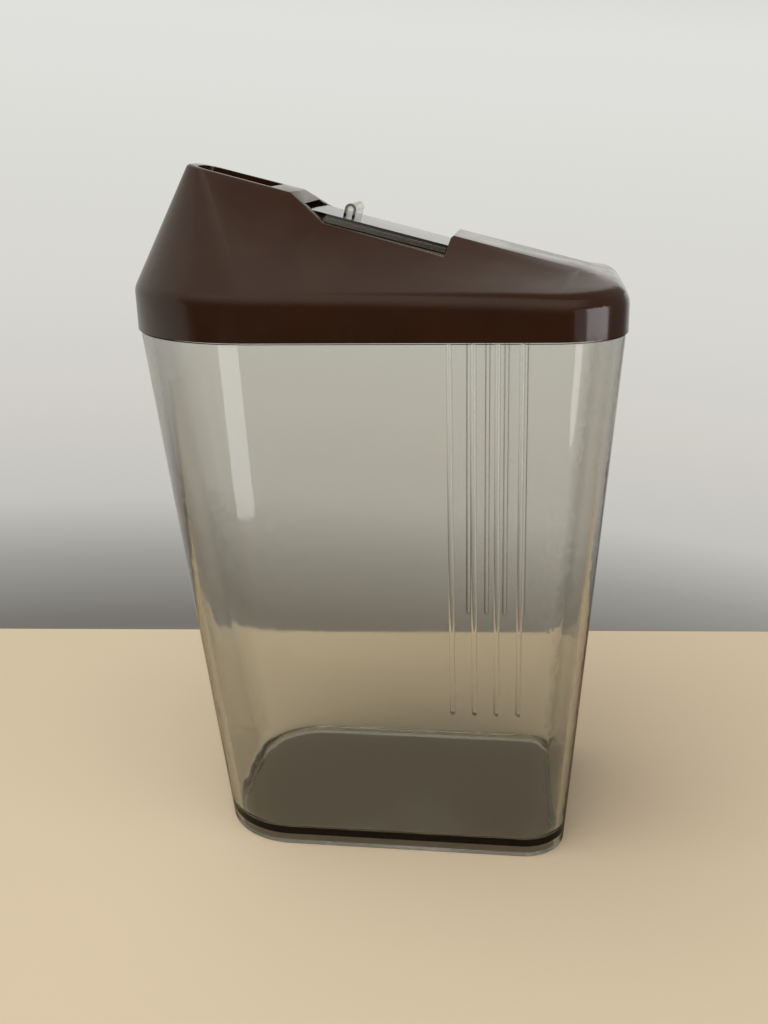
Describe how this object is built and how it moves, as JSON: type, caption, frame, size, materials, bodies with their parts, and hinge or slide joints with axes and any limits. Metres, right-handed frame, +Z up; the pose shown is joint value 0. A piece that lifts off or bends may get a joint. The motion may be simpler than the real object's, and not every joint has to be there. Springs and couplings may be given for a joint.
{
  "type": "storage shaker container",
  "caption": "Tapered see-through container with grip flutes and an opaque lift-off lid whose sloped ridge ends in a pouring spout, closed by a clear slide with a finger rib.",
  "frame": {"origin": "under the middle of the lid's outline, on the surface that the foot ring stands on", "axes": "+Z up; -X towards the pouring spout; -Y towards the side that was pictured; the shape is mirrored about the XZ plane"},
  "size_m": [0.1076, 0.0672, 0.1546],
  "materials": {
    "smoky_clear_plastic": "smoky see-through, polished",
    "brown_plastic": "dark brown, satin gloss",
    "clear_slide_plastic": "clear with a grey-olive cast, polished"
  },
  "bodies": {
    "container": {"container_body": "smoky_clear_plastic"},
    "lid": {"lid": "brown_plastic"},
    "slide": {"slide": "clear_slide_plastic"}
  },
  "joints": [
    {"name": "lid_lift", "type": "slide", "parent": "container", "child": "lid", "axis": [0, 0, 1], "range_m": [0, 0.03]},
    {"name": "spout_slide", "type": "slide", "parent": "lid", "child": "slide", "axis": [0.9655, 0, -0.2604], "range_m": [0, 0.02]}
  ]
}
